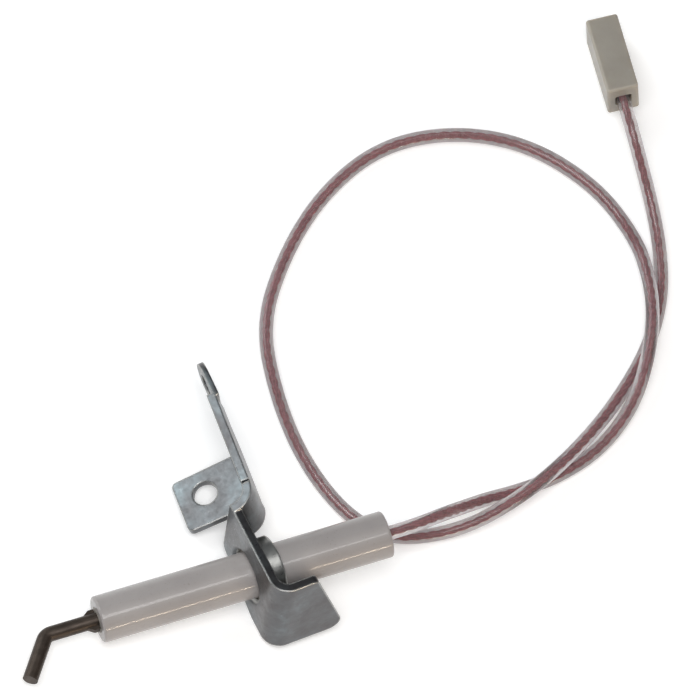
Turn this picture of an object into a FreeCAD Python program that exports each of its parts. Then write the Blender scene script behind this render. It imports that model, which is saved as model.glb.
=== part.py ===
import FreeCAD, Part
import math
import os

os.makedirs("parts", exist_ok=True)

# Ignition electrode of a gas burner: a bent rod in a ceramic tube, held by a bent
# sheet bracket, with a free high-tension lead that ends in a small connector.
# All sizes are in millimetres and all angles in degrees.
#
# The part lies on a flat surface, Z = 0, on its ceramic's front end, on the bracket's
# arm and flange, and on its lead. +X runs along the ceramic towards the lead, +Y runs
# towards the end of the bracket's arm, and +Z is up. The origin is under the middle of
# the rigid electrode (everything except the lead and its connector).

Vec = FreeCAD.Vector
Turn = FreeCAD.Rotation
Place = FreeCAD.Placement
X_AXIS = Vec(1, 0, 0)
Y_AXIS = Vec(0, 1, 0)
Z_AXIS = Vec(0, 0, 1)

# ---- driving dimensions -----------------------------------------------------------

# ceramic tube, measured along its axis from the middle of the plate's hole
ceramic_radius = 4.0
ceramic_front = 26.2
ceramic_rear = 24.95
ceramic_edge = 0.45
rod_bore_radius = 1.45
lead_bore_radius = 2.0
bore_step = -18.5
front_recess_radius = 2.3
front_recess_depth = 1.4

# electrode rod
rod_radius = 1.3
rod_inner_end = -14.0
rod_straight = 9.1
rod_tip = 8.8
rod_bend_angle = 54.0
rod_bend_radius = 1.9
ear_span = 3.9
ear_thickness = 1.0
ear_length = 2.2
ear_gap = 0.1

# joint sleeve inside the ceramic
sleeve_radius = 1.85
sleeve_start = -18.0
sleeve_end = -8.0
crimp_places = (-16.2, -10.6)
crimp_width = 0.8
crimp_depth = 0.25

# lead
lead_radius = 1.2
core_radius = 0.45
seal_length = 3.0
seal_recess = 0.25

# free lead: how far it runs straight at each end, then the points it turns at
lead_straight = 5.0
plug_straight = 4.6
lead_route = [
    Vec(43.5, -11.4, 8.6),
    Vec(48.5, -10.2, 5.2),
    Vec(54, -9.2, 2.6),
    Vec(59.9, -8.9, 1.2),
    Vec(67.9, -8.2, 1.2),
    Vec(76.6, -5.4, 1.2),
    Vec(84.1, 0.1, 2.4),
    Vec(88.8, 7, 4),
    Vec(92.2, 13.8, 4),
    Vec(94.2, 20.6, 2.7),
    Vec(94.8, 28.6, 1.2),
    Vec(91.1, 39.3, 1.2),
    Vec(82.1, 49.4, 1.2),
    Vec(70.1, 54.7, 1.2),
    Vec(57, 55.3, 1.2),
    Vec(44.6, 49.7, 1.2),
    Vec(34.7, 40.9, 1.2),
    Vec(27, 30.2, 1.2),
    Vec(25.3, 17, 1.2),
    Vec(26.2, 5.2, 1.2),
    Vec(30, -5.3, 1.2),
    Vec(36, -11.1, 1.2),
    Vec(43.5, -12.7, 1.2),
    Vec(50.9, -12.7, 2.5),
    Vec(58.2, -11, 4),
    Vec(65.5, -8.3, 4),
    Vec(74, -3.7, 3),
    Vec(82.5, 2.2, 1.2),
    Vec(90.7, 9.7, 1.2),
    Vec(96, 18, 1.2),
    Vec(98.4, 26.4, 1.2),
    Vec(99.1, 33.6, 2.4),
    Vec(98.8, 39.4, 4.9),
]
corner_cut = 0.45

# bracket sheet
sheet = 1.5
plate_top = 8.4
plate_near = -10.3
plate_far = 8.3
plate_far_top = 3.4
plate_far_knee = -3.6
plate_shoulder = 1.5
flange_bottom = -10.6
flange_bend = 3.3
flange_near_length = 7.5
flange_far_length = 13.9
flange_near_corner = 0.8
flange_far_corner = 2.2
collar_radius = 5.3
collar_bore = 4.4
collar_length = 3.7
collar_mouth = 1.0
cement_front = 1.0
cement_recess = 0.5
plate_yaw = 3.5
plate_lean = 5.8

# bracket arm, its tab and its eye
arm_skew = 15.2
arm_left = 3.1
arm_bend = 4.2
arm_foot_width = 10.8
arm_width = 7.0
arm_taper_end = 16.6
tab_bottom = 2.9
tab_top = 12.9
tab_top_left = 12.3
tab_left = -8.6
tab_bend = 2.3
tab_corner = 0.9
tab_hole_radius = 2.1
tab_hole_x = -3.8
tab_hole_z = 8.4
notch_height = 0.45
notch_depth = 0.8
eye_start = 20.4
eye_root = 0.6
eye_sheet = 1.0
eye_hole_z = 23.9
eye_end_z = 24.3
eye_hole_radius = 2.1
eye_lean = 3.5
eye_twist = 9.0

# how the electrode lies: the arm's end dips and the ceramic rises towards the lead
arm_dip = 12.3
ceramic_rise = 7.3

# connector on the lead's end: where its rear face is and how it lies
connector_rear = Vec(98.89, 50.99, 7.15)
connector_yaw = -97.2
connector_rise = 13.0
connector_roll = -168.2
housing_length = 14.7
housing_width = 5.5
housing_height = 7.3
housing_edge = 0.45
nose_wall = 1.0
cavity_width = 3.7
cavity_below = 1.0
cavity_above = 1.4
entry_depth = 2.6
entry_width = 2.8
entry_corner = 0.5
slot_width = 3.2
slot_below = 0.65
slot_above = 0.75
slot_flare = 0.4
window_width = 2.0
window_front = -9.4
window_rear = -6.6

# receptacle terminal inside the connector
terminal_sheet = 0.4
terminal_width = 3.6
terminal_height = 2.0
terminal_front = -12.8
terminal_rear = -6.4
terminal_lip = 1.2
neck_width = 1.6
barrel_radius = 1.0
barrel_front = -5.2


# ---- helpers ----------------------------------------------------------------------

def corner_arc(before, corner, after, cut):
    """Start, middle and end of the arc that rounds a corner, and its radius."""
    back = (before - corner).normalize()
    ahead = (after - corner).normalize()
    half_turn = (math.pi - back.getAngle(ahead)) / 2
    radius = cut / math.tan(half_turn)
    inward = (back + ahead).normalize()
    middle = corner + inward * (radius / math.cos(half_turn) - radius)
    return corner + back * cut, middle, corner + ahead * cut, radius


def outline(points, radii):
    """A closed wire through the points, with each corner rounded to its radius."""
    edges = []
    starts = []
    ends = []
    arcs = []
    count = len(points)
    for i, (point, radius) in enumerate(zip(points, radii)):
        before = points[i - 1]
        after = points[(i + 1) % count]
        if radius == 0:
            starts.append(point)
            ends.append(point)
            arcs.append(None)
            continue
        half_turn = (math.pi - (before - point).getAngle(after - point)) / 2
        start, middle, end, _ = corner_arc(before, point, after, radius * math.tan(half_turn))
        starts.append(start)
        ends.append(end)
        arcs.append(Part.Arc(start, middle, end).toShape())
    for i in range(count):
        if arcs[i] is not None:
            edges.append(arcs[i])
        leave = ends[i]
        arrive = starts[(i + 1) % count]
        if leave.distanceToPoint(arrive) > 1e-6:
            edges.append(Part.LineSegment(leave, arrive).toShape())
    return Part.Wire(edges)


def prism(points, radii, sweep):
    """A solid made by pushing a rounded outline along a vector."""
    return Part.Face(outline(points, radii)).extrude(sweep)


def rod_along_x(radius, start, end):
    return Part.makeCylinder(radius, end - start, Vec(start, 0, 0), X_AXIS)


def edges_where(shape, test):
    return [edge for edge in shape.Edges if test(edge)]


def is_circle(edge, radius, x):
    """True for a circle of this radius about the X axis, at this place along it."""
    curve = edge.Curve
    if not isinstance(curve, Part.Circle):
        return False
    return abs(curve.Radius - radius) < 1e-3 and abs(curve.Center.x - x) < 1e-3


# ---- ceramic and what it holds, in the ceramic's own frame -----------------------

def make_ceramic():
    body = rod_along_x(ceramic_radius, -ceramic_front, ceramic_rear)
    rims = edges_where(body, lambda e: is_circle(e, ceramic_radius, -ceramic_front))
    rims += edges_where(body, lambda e: is_circle(e, ceramic_radius, ceramic_rear))
    body = body.makeFillet(ceramic_edge, rims)
    body = body.cut(rod_along_x(rod_bore_radius, -ceramic_front - 1, bore_step + 1))
    body = body.cut(rod_along_x(lead_bore_radius, bore_step, ceramic_rear + 1))
    recess_end = front_recess_depth - ceramic_front
    return body.cut(rod_along_x(front_recess_radius, -ceramic_front - 1, recess_end))


def make_rod():
    knee = Vec(-ceramic_front - rod_straight, 0, 0)
    bend = math.radians(rod_bend_angle)
    tip = knee + Vec(-math.cos(bend), 0, -math.sin(bend)) * rod_tip
    inner = Vec(rod_inner_end, 0, 0)
    cut = rod_bend_radius * math.tan(bend / 2)
    start, middle, end, _ = corner_arc(inner, knee, tip, cut)
    path = Part.Wire([
        Part.LineSegment(inner, start).toShape(),
        Part.Arc(start, middle, end).toShape(),
        Part.LineSegment(end, tip).toShape(),
    ])
    section = Part.Face(Part.Wire(Part.makeCircle(rod_radius, inner, X_AXIS)))
    rod = path.makePipe(section)
    return rod.fuse(make_ears()).removeSplitter()


def make_ears():
    """The two ears pinched out of the rod, which stop it against the ceramic."""
    rear = -ceramic_front - ear_gap
    front = rear - ear_length
    half = ear_span / 2
    waist = rod_radius * 0.8
    points = [
        Vec(rear, -ear_thickness / 2, -half),
        Vec(rear, -ear_thickness / 2, half),
        Vec(rear - ear_length * 0.45, -ear_thickness / 2, half),
        Vec(front, -ear_thickness / 2, waist),
        Vec(front, -ear_thickness / 2, -waist),
        Vec(rear - ear_length * 0.45, -ear_thickness / 2, -half),
    ]
    return prism(points, [0.25, 0.25, 0.5, 0, 0, 0.5], Vec(0, ear_thickness, 0))


def make_front_cement():
    recess_end = front_recess_depth - ceramic_front
    plug = rod_along_x(front_recess_radius, -ceramic_front, recess_end)
    return plug.cut(rod_along_x(rod_radius, -ceramic_front - 1, recess_end + 1))


def make_sleeve():
    sleeve = rod_along_x(sleeve_radius, sleeve_start, sleeve_end)
    sleeve = sleeve.cut(rod_along_x(rod_radius, sleeve_start - 1, rod_inner_end))
    sleeve = sleeve.cut(rod_along_x(core_radius, rod_inner_end - 1, sleeve_end + 1))
    for place in crimp_places:
        start = place - crimp_width / 2
        groove = rod_along_x(sleeve_radius + 1, start, start + crimp_width)
        core = rod_along_x(sleeve_radius - crimp_depth, start - 1, start + crimp_width + 1)
        sleeve = sleeve.cut(groove.cut(core))
    return sleeve


def make_tail_insulation():
    tail = rod_along_x(lead_radius, sleeve_end, ceramic_rear)
    return tail.cut(rod_along_x(core_radius, sleeve_end - 1, ceramic_rear + 1))


def make_tail_core():
    return rod_along_x(core_radius, rod_inner_end, ceramic_rear)


def make_rear_seal():
    end = ceramic_rear - seal_recess
    seal = rod_along_x(lead_bore_radius, end - seal_length, end)
    return seal.cut(rod_along_x(lead_radius, end - seal_length - 1, end + 1))


# ---- bracket: a plate round the ceramic, a flange below it and an arm above it ----

plate_place = Place(Vec(), Turn(Z_AXIS, plate_yaw) * Turn(Y_AXIS, -plate_lean))
arm_corner = plate_place.multVec(Vec(0, plate_near, plate_top))
arm_place = Place(arm_corner, Turn(Z_AXIS, -arm_skew))


def make_plate_and_flange():
    far_reach = flange_far_length + 5
    profile = [
        Vec(0, plate_near, plate_top + 2),
        Vec(sheet, plate_near, plate_top + 2),
        Vec(sheet, plate_near, flange_bottom + sheet),
        Vec(far_reach, plate_near, flange_bottom + sheet),
        Vec(far_reach, plate_near, flange_bottom),
        Vec(0, plate_near, flange_bottom),
    ]
    radii = [0, 0, flange_bend - sheet, 0, 0, flange_bend]
    body = prism(profile, radii, Vec(0, plate_far - plate_near, 0))

    side_view = [
        Vec(-1, plate_near, plate_top + 2),
        Vec(-1, plate_near, flange_bottom - 1),
        Vec(-1, plate_far, flange_bottom - 1),
        Vec(-1, plate_far, plate_far_knee),
        Vec(-1, plate_far_top, plate_top),
        Vec(-1, plate_far_top - 3, plate_top),
        Vec(-1, plate_far_top - 3, plate_top + 2),
    ]
    radii = [0, 0, 0, 4, plate_shoulder, 0, 0]
    body = body.common(prism(side_view, radii, Vec(far_reach + 2, 0, 0)))

    top_view = [
        Vec(-1, plate_near, -20),
        Vec(flange_near_length, plate_near, -20),
        Vec(flange_far_length, plate_far, -20),
        Vec(-1, plate_far, -20),
    ]
    radii = [0, flange_near_corner, flange_far_corner, 0]
    return body.common(prism(top_view, radii, Vec(0, 0, 40)))


def make_arm_strip():
    """The arm's strip seen from its near edge: down the arm, round the bend, to the left."""
    profile = [
        Vec(arm_left, 0, eye_start),
        Vec(arm_left, 0, 0),
        Vec(-6, 0, 0),
        Vec(-6, 0, -sheet),
        Vec(arm_left + sheet, 0, -sheet),
        Vec(arm_left + sheet, 0, eye_start),
    ]
    radii = [0, arm_bend - sheet, 0, 0, arm_bend, 0]
    strip = prism(profile, radii, Vec(0, arm_foot_width, 0))

    flat_far = arm_foot_width - tab_bend
    face_view = [
        Vec(-10, 0, -5),
        Vec(-10, arm_foot_width, -5),
        Vec(-10, arm_foot_width, tab_bottom - 0.6),
        Vec(-10, flat_far, tab_bottom - 0.6),
        Vec(-10, flat_far, tab_top),
        Vec(-10, arm_width, arm_taper_end),
        Vec(-10, arm_width, eye_start),
        Vec(-10, 0, eye_start),
    ]
    radii = [0, 0, 0.6, 0, 0, 3, 0, 0]
    strip = strip.common(prism(face_view, radii, Vec(20, 0, 0)))
    notch = Part.makeBox(4, notch_depth + 1, notch_height, Vec(arm_left - 1, -1, tab_bottom - 0.2))
    return strip.cut(notch)


def make_tab():
    """The square tab, bent forward from the arm's far edge, with its screw hole."""
    back = arm_foot_width
    right = arm_left + sheet
    plan = [
        Vec(right, back - tab_bend, tab_bottom),
        Vec(right, back, tab_bottom),
        Vec(tab_left, back, tab_bottom),
        Vec(tab_left, back - sheet, tab_bottom),
        Vec(arm_left, back - sheet, tab_bottom),
        Vec(arm_left, back - tab_bend, tab_bottom),
    ]
    radii = [0, tab_bend - 0.01, 0, 0, tab_bend - sheet - 0.01, 0]
    tab = prism(plan, radii, Vec(0, 0, tab_top - tab_bottom))

    face = [
        Vec(tab_left, 0, tab_bottom),
        Vec(tab_left, 0, tab_top_left),
        Vec(right, 0, tab_top),
        Vec(right, 0, tab_bottom),
    ]
    tab = tab.common(prism(face, [tab_corner, tab_corner, 0, 0], Vec(0, 20, 0)))
    hole = Part.makeCylinder(tab_hole_radius, 20, Vec(tab_hole_x, 0, tab_hole_z), Y_AXIS)
    return tab.cut(hole)


def make_eye():
    """The arm's end: a thinner rounded eye, leaned and twisted where it leaves the arm."""
    half = arm_width / 2
    hole = eye_hole_z - eye_start
    end = eye_end_z - eye_start
    eye = Part.makeBox(eye_sheet, arm_width, end + eye_root, Vec(-eye_sheet / 2, -half, -eye_root))
    eye = eye.fuse(Part.makeCylinder(half, eye_sheet, Vec(-eye_sheet / 2, 0, end), X_AXIS))
    eye = eye.cut(Part.makeCylinder(eye_hole_radius, 10, Vec(-5, 0, hole), X_AXIS))
    eye = eye.removeSplitter()
    eye.Placement = Place(
        Vec(arm_left + sheet - eye_sheet / 2, half, eye_start),
        Turn(Y_AXIS, -eye_lean) * Turn(Z_AXIS, eye_twist),
    )
    return eye


def make_collar():
    """The collar drawn out of the plate's hole, on the plate's rear side."""
    return rod_along_x(collar_radius, sheet / 2, sheet + collar_length)


def make_bracket():
    plate = make_plate_and_flange()
    plate = plate.fuse(make_collar()).cut(rod_along_x(collar_bore, -5, 20))
    mouth = edges_where(plate, lambda e: is_circle(e, collar_bore, 0))
    plate = plate.makeFillet(collar_mouth, mouth)
    plate.Placement = plate_place

    arm = make_arm_strip().fuse([make_tab(), make_eye()])
    arm.Placement = arm_place

    over_shelf = Part.makeBox(40, 40, 20, Vec(-20, -20, 0))
    over_shelf.Placement = arm_place
    before_plate = Part.makeBox(40, 60, 60, Vec(-40, -30, -30))
    before_plate.Placement = plate_place
    shelf_only = Part.makeBox(40, 40, 8.5, Vec(-30, -10, -8))
    shelf_only.Placement = arm_place

    plate = plate.cut(over_shelf)
    arm = arm.cut(before_plate.common(shelf_only))
    return plate.fuse(arm).removeSplitter()


def make_collar_cement():
    """The cement that fills the collar round the ceramic."""
    fill = rod_along_x(collar_bore, cement_front, sheet + collar_length - cement_recess)
    fill.Placement = plate_place
    return fill.cut(rod_along_x(ceramic_radius, -10, 20))


# ---- free lead --------------------------------------------------------------------

def lead_path(points):
    """Straight runs joined by tangent arcs, and the radius of each arc."""
    edges = []
    radii = []
    leave = points[0]
    for before, corner, after in zip(points, points[1:], points[2:]):
        shorter = min(corner.distanceToPoint(before), corner.distanceToPoint(after))
        start, middle, end, radius = corner_arc(before, corner, after, corner_cut * shorter)
        edges.append(Part.LineSegment(leave, start).toShape())
        edges.append(Part.Arc(start, middle, end).toShape())
        radii.append(radius)
        leave = end
    edges.append(Part.LineSegment(leave, points[-1]).toShape())
    return Part.Wire(edges), radii


def tube_along(path, outer, inner):
    """A tube along a path, or a solid cord where the inner radius is 0."""
    first = path.OrderedEdges[0]
    place = first.valueAt(first.FirstParameter)
    along = first.tangentAt(first.FirstParameter)
    ring = Part.Face(Part.Wire(Part.makeCircle(outer, place, along)))
    if inner > 0:
        ring = ring.cut(Part.Face(Part.Wire(Part.makeCircle(inner, place, along)))).Faces[0]
    return path.makePipe(ring)


# ---- connector: its nose is at -X and the lead leaves its rear face at X = 0 ------

def block(front, rear, width, bottom, top):
    return Part.makeBox(rear - front, width, top - bottom, Vec(front, -width / 2, bottom))


def make_housing():
    half = housing_height / 2
    body = block(-housing_length, 0, housing_width, -half, half)
    body = body.makeFillet(housing_edge, body.Edges)
    nose = nose_wall - housing_length
    body = body.cut(block(nose, -entry_depth, cavity_width, -cavity_below, cavity_above))

    entry = block(-entry_depth - 0.5, 1, entry_width, -entry_width / 2, entry_width / 2)
    along = edges_where(entry, lambda e: abs(e.tangentAt(e.FirstParameter).x) > 0.99)
    body = body.cut(entry.makeFillet(entry_corner, along))

    slot = block(-housing_length - 1, nose + 1, slot_width, -slot_below, slot_above)
    body = body.cut(slot)
    flare = slot_flare
    wide = Part.makePolygon([
        Vec(-housing_length, -slot_width / 2 - flare, -slot_below - flare),
        Vec(-housing_length, slot_width / 2 + flare, -slot_below - flare),
        Vec(-housing_length, slot_width / 2 + flare, slot_above + flare),
        Vec(-housing_length, -slot_width / 2 - flare, slot_above + flare),
        Vec(-housing_length, -slot_width / 2 - flare, -slot_below - flare),
    ])
    narrow = Part.makePolygon([
        Vec(-housing_length + flare, -slot_width / 2, -slot_below),
        Vec(-housing_length + flare, slot_width / 2, -slot_below),
        Vec(-housing_length + flare, slot_width / 2, slot_above),
        Vec(-housing_length + flare, -slot_width / 2, slot_above),
        Vec(-housing_length + flare, -slot_width / 2, -slot_below),
    ])
    body = body.cut(Part.makeLoft([wide, narrow], True, True))
    return body.cut(block(window_front, window_rear, window_width, 0, half + 1))


def make_terminal():
    """A sheet receptacle with curled sides, a neck and a barrel crimped on the core."""
    base = -barrel_radius
    top = base + terminal_height
    inside = terminal_width - 2 * terminal_sheet
    gap = terminal_width - 2 * terminal_lip
    body = block(terminal_front, terminal_rear, terminal_width, base, top)
    hollow = block(
        terminal_front - 1, terminal_rear + 1, inside, base + terminal_sheet, top - terminal_sheet
    )
    body = body.cut(hollow)
    body = body.cut(block(terminal_front - 1, terminal_rear + 1, gap, 0, top + 1))
    neck = block(terminal_rear - 1, -entry_depth, neck_width, base, base + terminal_sheet)
    barrel = rod_along_x(barrel_radius, barrel_front, -entry_depth)
    body = body.fuse([neck, barrel])
    return body.cut(rod_along_x(core_radius, barrel_front - 1, 0)).removeSplitter()


# ---- build ------------------------------------------------------------------------

lying = Turn(Y_AXIS, -ceramic_rise) * Turn(X_AXIS, -90 - arm_dip)

parts = {
    "electrode_rod": make_rod(),
    "ceramic_tube": make_ceramic(),
    "front_cement": make_front_cement(),
    "joint_sleeve": make_sleeve(),
    "lead_end_insulation": make_tail_insulation(),
    "lead_end_core": make_tail_core(),
    "rear_seal": make_rear_seal(),
    "mounting_bracket": make_bracket(),
    "collar_cement": make_collar_cement(),
}

for shape in parts.values():
    shape.Placement = Place(Vec(), lying) * shape.Placement
box = FreeCAD.BoundBox()
for shape in parts.values():
    box.add(shape.optimalBoundingBox())
shift = Vec(-box.Center.x, -box.Center.y, -box.ZMin)
for shape in parts.values():
    shape.translate(shift)

lead_axis = lying.multVec(X_AXIS)
lead_exit = shift + lead_axis * ceramic_rear
connector_turn = Turn(Z_AXIS, connector_yaw) * Turn(Y_AXIS, -connector_rise)
connector_place = Place(connector_rear, connector_turn * Turn(X_AXIS, connector_roll))
barrel_face = connector_place.multVec(Vec(-entry_depth, 0, 0))
route = [lead_exit, lead_exit + lead_axis * lead_straight] + lead_route
route += [connector_place.multVec(Vec(plug_straight, 0, 0)), barrel_face]
path, radii = lead_path(route)

barrel_core = rod_along_x(core_radius, barrel_front, -entry_depth)
barrel_core.Placement = connector_place
housing = make_housing()
housing.Placement = connector_place
terminal = make_terminal()
terminal.Placement = connector_place
parts["lead_insulation"] = tube_along(path, lead_radius, core_radius)
parts["lead_core"] = tube_along(path, core_radius, 0).fuse(barrel_core).removeSplitter()
parts["connector_housing"] = housing
parts["receptacle_terminal"] = terminal

for name, shape in parts.items():
    shape.exportStep(f"parts/{name}.step")
    print(name, shape.isValid(), len(shape.Solids), round(shape.Volume, 2))

ring = math.pi * (lead_radius ** 2 - core_radius ** 2)
print("rigid electrode", [round(size, 2) for size in (box.XLength, box.YLength, box.ZLength)])
print("lead exit", lead_exit, "direction", lead_axis)
print("last two route points", route[-2], route[-1])
print("turn radii", [round(radius, 1) for radius in radii])
print("lead length", round(path.Length, 2))
print("tube volume", round(parts["lead_insulation"].Volume, 2), "of", round(ring * path.Length, 2))
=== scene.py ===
import math

import bpy
import numpy as np
from mathutils import Matrix, Vector


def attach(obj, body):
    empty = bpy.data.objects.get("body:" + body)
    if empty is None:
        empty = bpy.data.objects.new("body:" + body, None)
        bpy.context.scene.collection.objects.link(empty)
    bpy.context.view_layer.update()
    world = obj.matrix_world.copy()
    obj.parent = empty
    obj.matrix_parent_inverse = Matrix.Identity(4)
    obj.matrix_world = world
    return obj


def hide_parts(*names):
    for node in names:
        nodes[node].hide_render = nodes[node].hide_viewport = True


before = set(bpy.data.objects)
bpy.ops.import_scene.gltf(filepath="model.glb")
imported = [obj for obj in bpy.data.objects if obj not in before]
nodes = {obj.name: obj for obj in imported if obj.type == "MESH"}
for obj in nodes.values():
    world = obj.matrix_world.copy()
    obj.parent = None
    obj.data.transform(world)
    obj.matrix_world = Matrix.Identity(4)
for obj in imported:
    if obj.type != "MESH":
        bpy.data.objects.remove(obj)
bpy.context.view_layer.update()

# ---- sizes, in metres ---------------------------------------------------------------

LEAD_DIAMETER = 0.0024
STRAND_COUNT = 3
STRAND_RADIUS = 0.00023
STRAND_OFFSET = 0.00022
STRAND_PITCH = 0.0062
STRAND_STEP = 0.0005
STRAND_SIDES = 10
SHEET_EDGE_RADIUS = 0.0005
HOUSING_EDGE_RADIUS = 0.0003
FLOOR_HALF_WIDTH = 3.0

# the lead's route, from the ceramic's rear face to the terminal's barrel
ROUTE = [
    (0.03283, -0.01266, 0.01041),
    (0.03779, -0.01266, 0.01105),
    (0.0435, -0.0114, 0.0086),
    (0.0485, -0.0102, 0.0052),
    (0.054, -0.0092, 0.0026),
    (0.0599, -0.0089, 0.0012),
    (0.0679, -0.0082, 0.0012),
    (0.0766, -0.0054, 0.0012),
    (0.0841, 0.0001, 0.0024),
    (0.0888, 0.007, 0.004),
    (0.0922, 0.0138, 0.004),
    (0.0942, 0.0206, 0.0027),
    (0.0948, 0.0286, 0.0012),
    (0.0911, 0.0393, 0.0012),
    (0.0821, 0.0494, 0.0012),
    (0.0701, 0.0547, 0.0012),
    (0.057, 0.0553, 0.0012),
    (0.0446, 0.0497, 0.0012),
    (0.0347, 0.0409, 0.0012),
    (0.027, 0.0302, 0.0012),
    (0.0253, 0.017, 0.0012),
    (0.0262, 0.0052, 0.0012),
    (0.03, -0.0053, 0.0012),
    (0.036, -0.0111, 0.0012),
    (0.0435, -0.0127, 0.0012),
    (0.0509, -0.0127, 0.0025),
    (0.0582, -0.011, 0.004),
    (0.0655, -0.0083, 0.004),
    (0.074, -0.0037, 0.003),
    (0.0825, 0.0022, 0.0012),
    (0.0907, 0.0097, 0.0012),
    (0.096, 0.018, 0.0012),
    (0.0984, 0.0264, 0.0012),
    (0.0991, 0.0336, 0.0024),
    (0.0988, 0.0394, 0.0049),
    (0.09833, 0.04654, 0.00818),
    (0.09921, 0.0535, 0.00657),
]

# the bracket's drawn collar, in centimetres: its middle, and the radii between which
# its painted highlight (brighter metal) fades out
COLLAR = (1.146, -1.266, 0.767)
COLLAR_INNER = 0.56
COLLAR_OUTER = 0.59


# ---- material helpers ---------------------------------------------------------------

class Nodes:
    """A material's node tree, with short ways to add nodes and join them."""

    def __init__(self, name):
        self.material = bpy.data.materials.new(name)
        self.material.use_nodes = True
        self.tree = self.material.node_tree
        self.shader = self.tree.nodes["Principled BSDF"]

    def add(self, kind, **values):
        node = self.tree.nodes.new(kind)
        for key, value in values.items():
            setattr(node, key, value)
        return node

    def join(self, source, target):
        self.tree.links.new(source, target)

    def place(self, scale=(1, 1, 1), rotate=(0, 0, 0)):
        """Object coordinates in millimetres, turned and stretched."""
        coords = self.add("ShaderNodeTexCoord")
        mapping = self.add("ShaderNodeMapping")
        mapping.inputs["Scale"].default_value = [1000 * s for s in scale]
        mapping.inputs["Rotation"].default_value = rotate
        self.join(coords.outputs["Object"], mapping.inputs["Vector"])
        return mapping.outputs["Vector"]

    def noise(self, vector, scale, detail=3.0, rough=0.55):
        node = self.add("ShaderNodeTexNoise")
        node.inputs["Scale"].default_value = scale
        node.inputs["Detail"].default_value = detail
        node.inputs["Roughness"].default_value = rough
        self.join(vector, node.inputs["Vector"])
        return node.outputs["Fac"]

    def ramp(self, source, stops):
        """A colour ramp through (place, colour) stops."""
        node = self.add("ShaderNodeValToRGB")
        elements = node.color_ramp.elements
        while len(elements) < len(stops):
            elements.new(0.5)
        for element, (place, colour) in zip(elements, stops):
            element.position = place
            if isinstance(colour, (int, float)):
                colour = (colour, colour, colour)
            element.color = (*colour, 1)
        self.join(source, node.inputs["Fac"])
        return node.outputs["Color"]

    def mix(self, factor, a, b, blend="MIX"):
        node = self.add("ShaderNodeMix", data_type="RGBA", blend_type=blend)
        for value, name in ((factor, 0), (a, 6), (b, 7)):
            if isinstance(value, bpy.types.NodeSocket):
                self.join(value, node.inputs[name])
            elif name == 0:
                node.inputs[name].default_value = value
            else:
                node.inputs[name].default_value = (*value, 1)
        return node.outputs[2]

    def bump(self, height, distance, strength=1.0, normal=None):
        node = self.add("ShaderNodeBump")
        node.inputs["Distance"].default_value = distance
        node.inputs["Strength"].default_value = strength
        self.join(height, node.inputs["Height"])
        if normal is not None:
            self.join(normal, node.inputs["Normal"])
        return node.outputs["Normal"]

    def rolled(self, radius):
        """The normal of a surface whose edges are rounded by this radius."""
        node = self.add("ShaderNodeBevel", samples=6)
        node.inputs["Radius"].default_value = radius
        return node.outputs["Normal"]

    def edges(self, normal):
        """1 on the rounded edges that this normal gives, and 0 on the faces."""
        geometry = self.add("ShaderNodeNewGeometry")
        dot = self.add("ShaderNodeVectorMath", operation="DOT_PRODUCT")
        self.join(geometry.outputs["Normal"], dot.inputs[0])
        self.join(normal, dot.inputs[1])
        return self.ramp(dot.outputs["Value"], [(0.86, 1.0), (0.985, 0.0)])

    def near(self, centre, inner, outer):
        """1 within the inner radius of this centre and 0 past the outer one, in cm."""
        apart = self.add("ShaderNodeVectorMath", operation="DISTANCE")
        self.join(self.place((0.1, 0.1, 0.1)), apart.inputs[0])
        apart.inputs[1].default_value = centre
        return self.ramp(apart.outputs["Value"], [(inner, 1.0), (outer, 0.0)])

    def larger(self, a, b):
        node = self.add("ShaderNodeMath", operation="MAXIMUM")
        self.join(a, node.inputs[0])
        self.join(b, node.inputs[1])
        return node.outputs["Value"]

    def set(self, **values):
        """Values or sockets for the shader, by input name with _ for a space."""
        for key, value in values.items():
            socket = self.shader.inputs[key.replace("_", " ")]
            if isinstance(value, bpy.types.NodeSocket):
                self.join(value, socket)
            elif isinstance(value, tuple) and socket.type == "RGBA":
                socket.default_value = (*value, 1)
            else:
                socket.default_value = value
        return self.material


def ceramic_material():
    m = Nodes("steatite")
    coarse = m.noise(m.place(), 0.10, 4)
    fine = m.noise(m.place(), 1.6, 5, 0.65)
    body = m.ramp(coarse, [(0.3, (0.284, 0.262, 0.255)), (0.7, (0.334, 0.311, 0.302))])
    specks = m.ramp(m.noise(m.place(), 2.8, 2), [(0.25, (0.72, 0.68, 0.62)), (0.36, (1, 1, 1))])
    body = m.mix(0.5, body, specks, "MULTIPLY")
    rough = m.ramp(fine, [(0.3, 0.30), (0.7, 0.42)])
    return m.set(
        Base_Color=body,
        Roughness=rough,
        IOR=1.52,
        Specular_IOR_Level=0.3,
        Coat_Weight=0.4,
        Coat_Roughness=0.06,
        Normal=m.bump(fine, 0.00003, 0.5),
    )


def cement_material():
    m = Nodes("cement")
    grain = m.noise(m.place(), 2.2, 6, 0.7)
    body = m.ramp(grain, [(0.3, (0.20, 0.18, 0.16)), (0.7, (0.42, 0.39, 0.35))])
    return m.set(Base_Color=body, Roughness=0.9, Normal=m.bump(grain, 0.00015))


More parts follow.
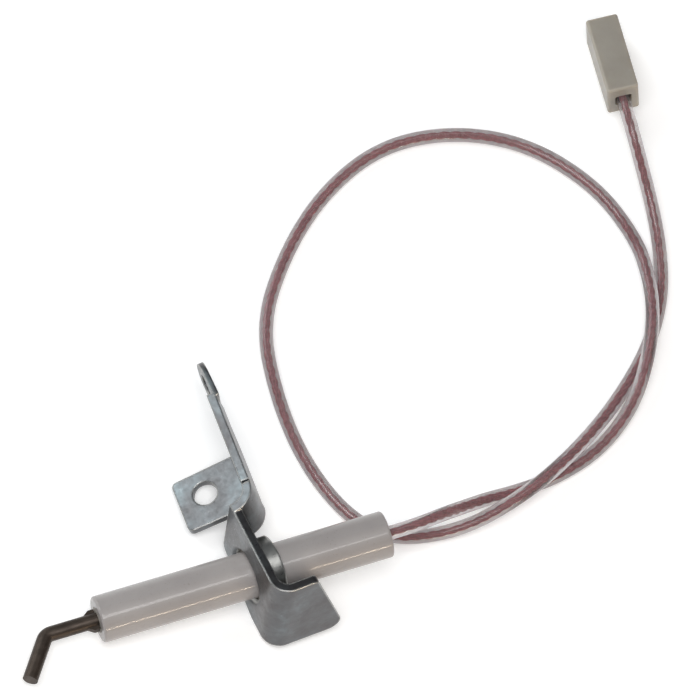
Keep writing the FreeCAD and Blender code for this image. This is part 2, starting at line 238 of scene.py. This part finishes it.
def zinc_material():
    m = Nodes("zinc_plate")
    cloud = m.noise(m.place(), 0.16, 5, 0.6)
    fine = m.noise(m.place(), 1.1, 6, 0.65)
    dark = (0.088, 0.082, 0.084)
    middle = (0.118, 0.121, 0.126)
    light = (0.175, 0.202, 0.214)
    body = m.ramp(cloud, [(0.28, dark), (0.52, middle), (0.74, light)])
    rolled = m.rolled(SHEET_EDGE_RADIUS)
    # painted highlight: brighter metal over the drawn collar and along the rounded sheet edges
    # stands in for the highlights they catch; the rounded-edge normal itself is real shape
    painted_highlight_mask = m.larger(m.edges(rolled), m.near(COLLAR, COLLAR_INNER, COLLAR_OUTER))
    highlight_metal = (0.50, 0.50, 0.48)
    body = m.mix(painted_highlight_mask, body, highlight_metal)
    rough = m.ramp(fine, [(0.3, 0.26), (0.72, 0.40)])
    return m.set(
        Base_Color=body,
        Metallic=1.0,
        Roughness=rough,
        Normal=m.bump(fine, 0.00004, 0.6, rolled),
    )


def rod_material():
    m = Nodes("heat_alloy")
    cloud = m.noise(m.place(), 0.35, 5, 0.6)
    drawn = m.noise(m.place((0.25, 1, 1)), 2.4, 4)
    body = m.ramp(cloud, [(0.3, (0.036, 0.027, 0.021)), (0.7, (0.070, 0.053, 0.042))])
    rough = m.ramp(drawn, [(0.3, 0.36), (0.7, 0.52)])
    return m.set(
        Base_Color=body,
        Metallic=0.7,
        Roughness=rough,
        Normal=m.bump(drawn, 0.00003, 0.5),
    )


def silicone_material():
    m = Nodes("clear_silicone")
    cloud = m.noise(m.place(), 0.3, 3)
    body = m.ramp(cloud, [(0.3, (0.53, 0.48, 0.49)), (0.7, (0.62, 0.58, 0.58))])
    return m.set(
        Base_Color=body,
        Roughness=0.16,
        IOR=1.41,
        Transmission_Weight=0.86,
    )


def strand_material():
    m = Nodes("twisted_strands")
    fibre = m.noise(m.place(), 1.8, 5, 0.6)
    body = m.ramp(fibre, [(0.3, (0.30, 0.05, 0.065)), (0.7, (0.52, 0.15, 0.17))])
    return m.set(Base_Color=body, Roughness=0.55, Normal=m.bump(fibre, 0.00006))


def seal_material():
    m = Nodes("seal")
    grain = m.noise(m.place(), 1.5, 4)
    body = m.ramp(grain, [(0.3, (0.24, 0.20, 0.19)), (0.7, (0.36, 0.32, 0.30))])
    return m.set(Base_Color=body, Roughness=0.7, Normal=m.bump(grain, 0.0001))


def housing_material():
    m = Nodes("nylon")
    cloud = m.noise(m.place(), 0.22, 4, 0.6)
    skin = m.noise(m.place(), 3.0, 3)
    body = m.ramp(cloud, [(0.3, (0.28, 0.255, 0.22)), (0.7, (0.325, 0.30, 0.26))])
    return m.set(
        Base_Color=body,
        Roughness=0.42,
        IOR=1.53,
        Subsurface_Weight=0.8,
        Subsurface_Radius=(1.0, 0.9, 0.75),
        Subsurface_Scale=0.0025,
        Normal=m.bump(skin, 0.00002, 0.5, m.rolled(HOUSING_EDGE_RADIUS)),
    )


def tin_material():
    m = Nodes("tinned_brass")
    fine = m.noise(m.place(), 1.4, 4)
    body = m.ramp(fine, [(0.3, (0.50, 0.48, 0.42)), (0.7, (0.62, 0.60, 0.55))])
    return m.set(Base_Color=body, Metallic=1.0, Roughness=0.3)


def brass_material():
    m = Nodes("sleeve_brass")
    fine = m.noise(m.place(), 1.4, 4)
    body = m.ramp(fine, [(0.3, (0.50, 0.36, 0.15)), (0.7, (0.62, 0.46, 0.22))])
    return m.set(Base_Color=body, Metallic=1.0, Roughness=0.32)


def dress(obj, material):
    obj.data.materials.clear()
    obj.data.materials.append(material)


def link(obj):
    bpy.context.scene.collection.objects.link(obj)
    return obj


# ---- CAD nodes that stay ------------------------------------------------------------

ceramic_look = ceramic_material()
cement_look = cement_material()
silicone_look = silicone_material()
strand_look = strand_material()
looks = {
    "ceramic_tube": ceramic_look,
    "front_cement": cement_look,
    "collar_cement": cement_look,
    "rear_seal": seal_material(),
    "mounting_bracket": zinc_material(),
    "electrode_rod": rod_material(),
    "joint_sleeve": brass_material(),
    "lead_end_insulation": silicone_look,
    "lead_end_core": strand_look,
    "connector_housing": housing_material(),
    "receptacle_terminal": tin_material(),
}
for name, look in looks.items():
    dress(nodes[name], look)
    for polygon in nodes[name].data.polygons:
        polygon.material_index = 0


# ---- the free lead ------------------------------------------------------------------

def route_curve(name, bevel):
    data = bpy.data.curves.new(name, "CURVE")
    data.dimensions = "3D"
    spline = data.splines.new("NURBS")
    spline.points.add(len(ROUTE) - 1)
    for point, place in zip(spline.points, ROUTE):
        point.co = (*place, 1)
    spline.order_u = 3
    spline.use_endpoint_u = True
    spline.resolution_u = 14
    data.bevel_depth = bevel
    data.bevel_resolution = 7
    data.use_fill_caps = bevel > 0
    return bpy.data.objects.new(name, data)


def centreline():
    """Points along the lead's own spline, and the frame that travels with them."""
    line = link(route_curve("centreline", 0))
    bpy.context.view_layer.update()
    mesh = bpy.data.meshes.new_from_object(line)
    points = np.array([v.co for v in mesh.vertices], float)
    bpy.data.objects.remove(line)
    bpy.data.meshes.remove(mesh)
    steps = np.linalg.norm(np.diff(points, axis=0), axis=1)
    keep = np.concatenate([[True], steps > 1e-7])
    points = points[keep]
    along = np.gradient(points, axis=0)
    along /= np.linalg.norm(along, axis=1)[:, None]
    side = np.cross(along[0], (0, 0, 1))
    sides = []
    for direction in along:
        side = side - direction * side.dot(direction)
        side /= np.linalg.norm(side)
        sides.append(side)
    sides = np.array(sides)
    return points, sides, np.cross(along, sides)


def tube_mesh(name, points, radius, around):
    """A round tube along points, with flat ends."""
    along = np.gradient(points, axis=0)
    along /= np.linalg.norm(along, axis=1)[:, None]
    side = np.cross(along[0], (0.3, 0.2, 1))
    verts = []
    for point, direction in zip(points, along):
        side = side - direction * side.dot(direction)
        side /= np.linalg.norm(side)
        other = np.cross(direction, side)
        for i in range(around):
            angle = 2 * math.pi * i / around
            verts.append(point + radius * (math.cos(angle) * side + math.sin(angle) * other))
    faces = []
    for ring in range(len(points) - 1):
        for i in range(around):
            a = ring * around + i
            b = ring * around + (i + 1) % around
            faces.append((a, b, b + around, a + around))
    faces.append(tuple(reversed(range(around))))
    last = (len(points) - 1) * around
    faces.append(tuple(last + i for i in range(around)))
    mesh = bpy.data.meshes.new(name)
    mesh.from_pydata([tuple(v) for v in verts], [], faces)
    mesh.polygons.foreach_set("use_smooth", [True] * len(faces))
    mesh.update()
    return link(bpy.data.objects.new(name, mesh))


lead = link(route_curve("lead", LEAD_DIAMETER / 2))
dress(lead, silicone_look)
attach(lead, "root")
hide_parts("lead_insulation")

points, sides, ups = centreline()
distance = np.concatenate([[0], np.cumsum(np.linalg.norm(np.diff(points, axis=0), axis=1))])
fine = np.arange(0, distance[-1], STRAND_STEP)
for strand in range(STRAND_COUNT):
    turn = 2 * math.pi * (fine / STRAND_PITCH + strand / STRAND_COUNT)
    middle = np.stack([np.interp(fine, distance, points[:, k]) for k in range(3)], 1)
    side = np.stack([np.interp(fine, distance, sides[:, k]) for k in range(3)], 1)
    up = np.stack([np.interp(fine, distance, ups[:, k]) for k in range(3)], 1)
    helix = middle + STRAND_OFFSET * (np.cos(turn)[:, None] * side + np.sin(turn)[:, None] * up)
    piece = tube_mesh(f"lead_strand_{strand + 1}", helix, STRAND_RADIUS, STRAND_SIDES)
    dress(piece, strand_look)
    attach(piece, "root")
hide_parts("lead_core")


# ---- floor, light and camera --------------------------------------------------------

def plain_floor():
    mesh = bpy.data.meshes.new("floor")
    half = FLOOR_HALF_WIDTH
    corners = [(-half, -half, 0), (half, -half, 0), (half, half, 0), (-half, half, 0)]
    mesh.from_pydata(corners, [], [(0, 1, 2, 3)])
    floor = link(bpy.data.objects.new("floor", mesh))
    m = Nodes("floor_white")
    m.set(Base_Color=(0.86, 0.86, 0.86), Roughness=0.9, Specular_IOR_Level=0.1)
    dress(floor, m.set(Emission_Color=(1, 1, 1), Emission_Strength=0.3))


def area_light(name, place, target, size, power, colour):
    data = bpy.data.lights.new(name, "AREA")
    data.shape = "RECTANGLE"
    data.size = size[0]
    data.size_y = size[1]
    data.energy = power
    data.color = colour
    light = link(bpy.data.objects.new(name, data))
    light.location = place
    aim = Vector(target) - Vector(place)
    light.rotation_euler = aim.to_track_quat("-Z", "Y").to_euler()
    return light


plain_floor()

RIGHT = Vector((0.92296, -0.31869, 0.21584)).normalized()
TOWARD = Vector((-0.30138, -0.24939, 0.92031)).normalized()
UP = TOWARD.cross(RIGHT).normalized()
AIM = Vector((0.03316, 0.01621, 0.02328))
LENS = 1000.0
SENSOR = 36.0
FIELD = 0.11667
DISTANCE = FIELD * LENS / SENSOR

camera_data = bpy.data.cameras.new("camera")
camera_data.lens = LENS
camera_data.sensor_width = SENSOR
camera_data.clip_start = 0.05
camera_data.clip_end = 50
camera = link(bpy.data.objects.new("camera", camera_data))
turn = Matrix((RIGHT, UP, TOWARD)).transposed()
camera.matrix_world = Matrix.Translation(AIM + TOWARD * DISTANCE) @ turn.to_4x4()
bpy.context.scene.camera = camera
bpy.context.scene.view_settings.view_transform = "Standard"

world = bpy.data.worlds.new("studio")
bpy.context.scene.world = world
world.use_nodes = True
world.node_tree.nodes["Background"].inputs["Color"].default_value = (0.92, 0.95, 1, 1)
world.node_tree.nodes["Background"].inputs["Strength"].default_value = 0.12

MIDDLE = Vector((0.035, 0.015, 0.005))
REACH = 0.9
TOP_REACH = 1.1


def around(azimuth, height, reach):
    """A place this far from the middle, at this azimuth and height in degrees."""
    a = math.radians(azimuth)
    h = math.radians(height)
    out = math.cos(h)
    return MIDDLE + reach * Vector((out * math.cos(a), out * math.sin(a), math.sin(h)))


# name, azimuth, height, reach, size, power, colour
LIGHTS = [
    ("top", -150, 72, TOP_REACH, (0.6, 0.6), 8, (1, 1, 1)),
    ("card", 128, 42, REACH, (0.42, 0.36), 2.1, (0.93, 0.99, 1)),
    ("collar_card", 18, 71, REACH, (0.3, 0.26), 0.42, (1, 1, 1)),
    ("strip", -72, 15, REACH, (0.5, 0.04), 2.5, (1, 0.82, 0.62)),
    ("rim", 120, 15, REACH, (0.8, 0.2), 1.6, (1, 0.99, 0.97)),
]
for name, azimuth, height, reach, size, power, colour in LIGHTS:
    area_light(name, around(azimuth, height, reach), MIDDLE, size, power, colour)
